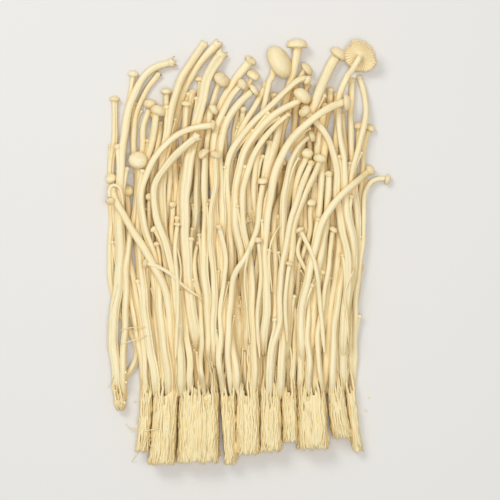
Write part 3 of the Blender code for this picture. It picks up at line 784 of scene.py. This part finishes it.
def mixed(tree, factor, a, b, kind="MIX"):
    """A colour mix node's output, each input a socket or a constant."""
    node = tree.nodes.new("ShaderNodeMix")
    node.data_type = "RGBA"
    node.blend_type = kind
    for socket, value in zip((node.inputs[0], node.inputs[6], node.inputs[7]), (factor, a, b)):
        if isinstance(value, bpy.types.NodeSocket):
            link(tree, value, socket)
        elif isinstance(value, float):
            socket.default_value = value
        else:
            socket.default_value = (*value, 1.0)
    return node.outputs[2]


def noise_of(tree, vector, scale, detail, low, high):
    """A noise on these coordinates, stretched so that low to high becomes 0 to 1."""
    node = tree.nodes.new("ShaderNodeTexNoise")
    node.inputs["Scale"].default_value = scale
    node.inputs["Detail"].default_value = detail
    link(tree, vector, node.inputs["Vector"])
    spread = tree.nodes.new("ShaderNodeMapRange")
    spread.inputs["From Min"].default_value = low
    spread.inputs["From Max"].default_value = high
    link(tree, node.outputs["Fac"], spread.inputs["Value"])
    return spread.outputs["Result"]


def scaled(tree, value, by, plus=0.0):
    node = tree.nodes.new("ShaderNodeMath")
    node.operation = "MULTIPLY_ADD"
    node.use_clamp = True
    link(tree, value, node.inputs[0])
    node.inputs[1].default_value = by
    node.inputs[2].default_value = plus
    return node.outputs[0]


def attribute(tree, name, output):
    node = tree.nodes.new("ShaderNodeAttribute")
    node.attribute_name = name
    return node.outputs[output]


def flesh_material():
    """Cream flesh with fine lengthwise fibres: straw at the base, ochre painted shade in the depths, tan
    where dried.
    """
    made = bpy.data.materials.get("enoki_flesh")
    if made:
        return made
    colours = bpy.context.scene.enoki_colours
    made = bpy.data.materials.new("enoki_flesh")
    made.use_nodes = True
    tree = made.node_tree
    shader = tree.nodes["Principled BSDF"]
    fibre = attribute(tree, "fibre", "Vector")
    fine = noise_of(tree, fibre, 2.6, 3.0, 0.35, 0.68)
    broad = noise_of(tree, fibre, 0.55, 2.0, 0.38, 0.64)
    colour = mixed(tree, scaled(tree, fine, 0.65), tuple(colours.flesh), tuple(colours.flesh_warm))
    colour = mixed(tree, scaled(tree, broad, 0.35), colour, tuple(colours.flesh_warm))
    tone = attribute(tree, "tone", "Fac")
    colour = mixed(tree, scaled(tree, tone, -1.0), colour, straw_colour(tree, fine, colours))
    colour = mixed(tree, scaled(tree, tone, 0.30), colour, tuple(colours.flesh_warm))
    # Painted shade: the flesh turns ochre where it lies deep between the stems.
    colour = mixed(tree, scaled(tree, attribute(tree, "painted_shade_mask", "Fac"), 0.85), colour, tuple(colours.painted_crevice_shade))
    dried = mixed(tree, scaled(tree, fine, 0.6), tuple(colours.dried), tuple(colours.flesh_warm))
    colour = mixed(tree, attribute(tree, "dry", "Fac"), colour, dried)
    link(tree, colour, shader.inputs["Base Color"])
    link(tree, scaled(tree, broad, 0.16, 0.42), shader.inputs["Roughness"])
    shader.inputs["Subsurface Weight"].default_value = 0.12
    shader.inputs["Subsurface Radius"].default_value = (1.0, 0.62, 0.28)
    shader.inputs["Subsurface Scale"].default_value = 0.8 * MM
    shader.inputs["Specular IOR Level"].default_value = 0.35
    bump = tree.nodes.new("ShaderNodeBump")
    bump.inputs["Strength"].default_value = 0.5
    bump.inputs["Distance"].default_value = 0.2 * MM
    link(tree, fine, bump.inputs["Height"])
    link(tree, bump.outputs["Normal"], shader.inputs["Normal"])
    return made


def straw_colour(tree, fine, colours):
    return mixed(tree, scaled(tree, fine, 0.7), tuple(colours.straw), tuple(colours.flesh))


class HeightMap:
    """How high the pieces reach over each small square of the surface."""

    def __init__(self, pieces, cell):
        self.cell = cell
        self.low = CAD_BOX[0]
        self.size = [int((CAD_BOX[1][i] - self.low[i]) / cell) + 8 for i in range(2)]
        self.heights = np.zeros(self.size)
        self.points = {}
        for piece in pieces:
            co = np.empty(len(piece.data.vertices) * 3, np.float32)
            piece.data.vertices.foreach_get("co", co)
            co = co.reshape(-1, 3)
            self.points[piece] = co
            np.maximum.at(self.heights, self.square(co), co[:, 2])

    def square(self, co):
        return tuple(
            np.clip(((co[:, i] - self.low[i]) / self.cell).astype(int) + 4, 0, self.size[i] - 1)
            for i in range(2)
        )

    def spread(self, pick, times):
        """Gives each square what pick makes of it and its eight neighbours, this many times over."""
        for _ in range(times):
            near = [np.roll(self.heights, (i, j), (0, 1)) for i in (-1, 0, 1) for j in (-1, 0, 1)]
            self.heights = pick(near, axis=0)


def paint_shade_in_depths(pieces):
    """Paints shade on each piece, the more the deeper it lies under what is around it."""
    broad = HeightMap(pieces, BROAD_SQUARE)
    broad.spread(np.max, 1)
    broad.spread(np.mean, 2)
    fine = HeightMap(pieces, FINE_SQUARE)
    fine.spread(np.max, 2)
    for piece, co in broad.points.items():
        under = (broad.heights[broad.square(co)] - co[:, 2]) / MM
        groove = (fine.heights[fine.square(co)] - co[:, 2]) / MM
        # Painted shade: how far each point lies under its neighbours, broadly and in fine grooves.
        painted_shade_mask = np.maximum(np.clip((under - 2.2) / 6.0, 0, 1), 0.55 * np.clip((groove - 0.25) / 1.5, 0, 1))
        layer = piece.data.attributes.new("painted_shade_mask", "FLOAT", "POINT")
        layer.data.foreach_set("value", painted_shade_mask.astype(np.float32))


# Threads and crumbs.

# Hair-thin threads and shrivelled mushrooms, each laid over whatever is under it. The lengths are in
# millimetres: widest radius, radius of its cap or 0, then where it runs, seen from above.
THREADS = (
    (0.26, 0, (-49.8, -11.6), (-51.6, -18.6), (-53.2, -24.6), (-53.9, -37.6)),
    (0.36, 0, (-49.0, -29.6), (-45.0, -28.4), (-39.0, -28.2)),
    (0.36, 0, (-49.0, -34.8), (-45.0, -33.6), (-38.6, -31.4)),
    (0.34, 0, (-47.2, -66.0), (-46.0, -67.6), (-42.0, -67.8), (-34.0, -66.4)),
    (0.24, 0, (-51.2, -46.6), (-52.6, -49.8), (-53.6, -51.8)),
    (0.28, 0, (-41.0, -74.6), (-42.8, -77.6), (-45.0, -80.4)),
    (0.30, 0, (-39.0, -56.8), (-41.0, -56.0), (-43.8, -57.4)),
    (0.30, 0, (-38.6, -61.4), (-42.0, -61.6), (-42.8, -65.2)),
    (0.30, 0, (-37.0, -70.4), (-38.6, -72.6), (-36.4, -73.6)),
    (0.55, 0, (39.8, -6.6), (36.4, -14.6), (37.2, -23.6), (38.0, -34)),
    (0.50, 0, (11.6, 10.4), (8.2, 3.4), (7.8, -2.6), (8.8, -14.6)),
    (0.60, 0, (0.4, 2.4), (-1.6, -8.4), (-0.8, -20.6), (0.4, -34.0)),
    (0.45, 0, (-28.0, 6.0), (-25.6, -6.4), (-27.0, -18.6), (-25.4, -33.0)),
    (0.70, 2.0, (-17.6, -17.4), (-23.8, -13.2), (-30.2, -7.4), (-36.0, -4.6), (-38.6, -4.0)),
    (0.75, 1.9, (-47.6, 18.0), (-49.6, 25.6), (-52.4, 25.8), (-53.0, 22.6), (-52.4, 19.8)),
    (0.85, 1.7, (14.6, -34.0), (13.8, -18.0), (14.8, -8.0), (15.4, -4.4)),
    (0.80, 1.5, (-27.6, -40.0), (-26.8, -14.0), (-27.8, 4.0), (-27.0, 10.6)),
    (0.85, 1.6, (4.2, -40.0), (3.2, -24.0), (4.6, -8.0), (3.6, 4.6)),
    (0.90, 1.8, (28.6, -38.0), (27.0, -20.0), (24.4, -2.0), (19.6, 8.4)),
)
# Where the crumbs lie, seen from above.
CRUMBS = ((-52.0, -47.4), (-51.6, -50.2), (-47.0, -45.6), (-46.8, -49.4), (-47.4, -57.2), (-50.9, -52.6),
          (46.2, -55.6), (44.9, -60.4))


def height_at(ground, x, y):
    """How high the pieces reach at this place, all in millimetres."""
    spot = np.array([[x * MM, y * MM, 0.0]])
    return float(ground.heights[ground.square(spot)][0]) / MM


def lay_thread(bm, ground, chance, radius, cap, places):
    """Adds a thread, with a cap at its far end if it has one, over what it crosses."""
    way = smooth_way([Vector((*place, 0)) for place in places], 0.8, 6)
    for p in way:
        p.z = height_at(ground, p.x, p.y) + 0.3 * radius
    heights = np.array([p.z for p in way])
    for _ in range(30):
        heights[1:-1] = 0.25 * heights[:-2] + 0.5 * heights[1:-1] + 0.25 * heights[2:]
    for p, z in zip(way, heights):
        p.z = max(z, radius)
    m = {
        "centre": way[-1], "axis": (way[-1] - way[-3]).normalized(), "stem": radius, "cap": cap or radius,
        "torn": not cap,
    }
    look = drawn_look("thread", m, chance)
    look.update(furrows=0, lumps=0.16, dry=0.2 if cap else 0.0)
    look["step"] = 0.8
    rows = stem_rows(way[:-1], radius, look, chance, (0.9, 1.0) if cap else (1.0, 0.5))
    if not cap:
        m["stem"] = 0.5 * radius
    rows += cap_rows(m, look, chance, rows[-1][0])
    part = bmesh.new()
    sweep(part, rows, 12 if cap else 6, chance.uniform(0, 1), Vector(chance.uniform(-9, 9, 3)), radius)
    add_to(bm, part)


# The stage.


def lay_floor(scene):
    floor_mesh = bpy.data.meshes.new("floor")
    bm = bmesh.new()
    bmesh.ops.create_grid(bm, x_segments=1, y_segments=1, size=FLOOR_REACH)
    bm.to_mesh(floor_mesh)
    bm.free()
    floor = bpy.data.objects.new("floor", floor_mesh)
    scene.collection.objects.link(floor)
    paint = bpy.data.materials.new("floor")
    paint.use_nodes = True
    shader = paint.node_tree.nodes["Principled BSDF"]
    shader.inputs["Base Color"].default_value = (*scene.enoki_colours.floor, 1.0)
    shader.inputs["Roughness"].default_value = 0.8
    floor_mesh.materials.append(paint)
    floor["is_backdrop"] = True


def hang_lamps(scene):
    """Hangs the lamps, each turned towards the bunch."""
    for name, place, watts, width in LAMPS:
        lamp = bpy.data.lights.new(name, "AREA")
        lamp.energy = watts
        lamp.size = width
        light = bpy.data.objects.new(name, lamp)
        light.location = place
        light.rotation_euler = (-Vector(place)).to_track_quat("-Z", "Y").to_euler()
        scene.collection.objects.link(light)


def light_all_round(scene):
    world = bpy.data.worlds.new("studio")
    world.use_nodes = True
    background = world.node_tree.nodes["Background"]
    background.inputs["Color"].default_value = AMBIENT_COLOUR
    background.inputs["Strength"].default_value = AMBIENT_STRENGTH
    scene.world = world
    scene.view_settings.view_transform = "Standard"


def place_camera(scene):
    lens = bpy.data.cameras.new("camera")
    lens.sensor_width = SENSOR_WIDTH
    lens.lens = SENSOR_WIDTH * VIEW_DISTANCE / VIEW_WIDTH
    camera = bpy.data.objects.new("camera", lens)
    camera.location = (*VIEW_CENTRE, VIEW_DISTANCE + VIEW_LEVEL)
    scene.collection.objects.link(camera)
    scene.camera = camera


# Operators.


def base_end():
    """Where every base ends and the separate stems start, in millimetres along the bunch."""
    sections, _ = underside_of(BASES[0])
    return sections[-1][0]


class ENOKI_OT_grow_free_mushrooms(bpy.types.Operator):
    """Grow a smooth mushroom over each loose one"""

    bl_idname = "enoki.grow_free_mushrooms"
    bl_label = "Grow free mushrooms"

    def execute(self, context):
        end = base_end()
        for node in FREE:
            found = mushrooms_of(node, end)
            if len(found) != 1:
                raise RuntimeError(f"{node} holds {len(found)} mushrooms, not one")
            bm = bmesh.new()
            chance = chance_for(node)
            grow_mushroom(bm, found[0], node, chance, root=chance.uniform(3, 7))
            finish_piece(bm, node.replace("mushroom", "enoki"), node)
        return {"FINISHED"}


class ENOKI_OT_grow_bases(bpy.types.Operator):
    """Grow each fibrous base with the mushrooms that stay joined to it"""

    bl_idname = "enoki.grow_bases"
    bl_label = "Grow bases"

    def execute(self, context):
        for node in BASES:
            sections, height = underside_of(node)
            mass = base_mesh(node, sections, height)
            if not mass.polygons:
                raise RuntimeError(f"the strands of {node} didn't fuse")
            bm = bmesh.new()
            bm.from_mesh(mass)
            bpy.data.meshes.remove(mass)
            add_fibres(bm, node, sections, height)
            chance = chance_for(node)
            colour_base(bm, sections[0][0], chance)
            for i, m in enumerate(mushrooms_of(node, sections[-1][0])):
                grow_mushroom(bm, m, f"{node}_{i}", chance, root=4)
            finish_piece(bm, node.replace("clump", "base"), node)
        return {"FINISHED"}


class ENOKI_OT_lay_threads(bpy.types.Operator):
    """Lay loose threads, shrivelled mushrooms and crumbs over the stems"""

    bl_idname = "enoki.lay_threads"
    bl_label = "Lay threads"

    def execute(self, context):
        bm = bmesh.new()
        chance = chance_for("threads")
        ground = HeightMap([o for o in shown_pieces() if o.type == "MESH"], THREAD_SQUARE)
        ground.spread(np.max, 1)
        ground.spread(np.mean, 2)
        for radius, cap, *places in THREADS:
            lay_thread(bm, ground, chance, radius, cap, places)
        for x, y in CRUMBS:
            size = chance.uniform(0.3, 0.5)
            spot = Vector((x, y, height_at(ground, x, y) + 0.8 * size))
            crumb = bmesh.new()
            bmesh.ops.create_icosphere(crumb, subdivisions=2, radius=size * MM)
            bmesh.ops.scale(crumb, vec=(1, chance.uniform(0.8, 1.5), 0.8), verts=crumb.verts)
            bmesh.ops.translate(crumb, vec=spot * MM, verts=crumb.verts)
            add_to(bm, crumb)
        finish_piece(bm, "loose_threads", None)
        return {"FINISHED"}


class ENOKI_OT_paint_depth_shade(bpy.types.Operator):
    """Paint shade on the flesh that lies deep between the stems"""

    bl_idname = "enoki.stain"
    bl_label = "Stain depths"

    # This step paints shade into the depths between the stems.
    def execute(self, context):
        paint_shade_in_depths([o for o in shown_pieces() if o.type == "MESH"])
        return {"FINISHED"}


class ENOKI_OT_set_stage(bpy.types.Operator):
    """Set the pale floor, the soft lights and the camera overhead"""

    bl_idname = "enoki.set_stage"
    bl_label = "Set stage"

    def execute(self, context):
        lay_floor(context.scene)
        hang_lamps(context.scene)
        light_all_round(context.scene)
        place_camera(context.scene)
        return {"FINISHED"}


class ENOKI_PT_panel(bpy.types.Panel):
    """The bunch's sizes, colours and steps"""

    bl_label = "Enoki bunch"
    bl_idname = "ENOKI_PT_panel"
    bl_space_type = "VIEW_3D"
    bl_region_type = "UI"
    bl_category = "Enoki"

    def draw(self, context):
        for group in (context.scene.enoki_sizes, context.scene.enoki_colours):
            for name in group.__annotations__:
                self.layout.prop(group, name)
        for operator in OPERATORS:
            self.layout.operator(operator.bl_idname)


GROUPS = {"enoki_sizes": EnokiSizes, "enoki_colours": EnokiColours}
OPERATORS = (
    ENOKI_OT_grow_free_mushrooms,
    ENOKI_OT_grow_bases,
    ENOKI_OT_lay_threads,
    ENOKI_OT_paint_depth_shade,
    ENOKI_OT_set_stage,
)


def register():
    for made in (*GROUPS.values(), *OPERATORS, ENOKI_PT_panel):
        bpy.utils.register_class(made)
    for name, group in GROUPS.items():
        setattr(bpy.types.Scene, name, PointerProperty(type=group))


def unregister():
    for name in GROUPS:
        delattr(bpy.types.Scene, name)
    for made in reversed((*GROUPS.values(), *OPERATORS, ENOKI_PT_panel)):
        bpy.utils.unregister_class(made)


def main():
    register()
    bpy.ops.enoki.grow_free_mushrooms()
    bpy.ops.enoki.grow_bases()
    bpy.ops.enoki.lay_threads()
    bpy.ops.enoki.stain()
    bpy.ops.enoki.set_stage()


if __name__ == "__main__":
    main()
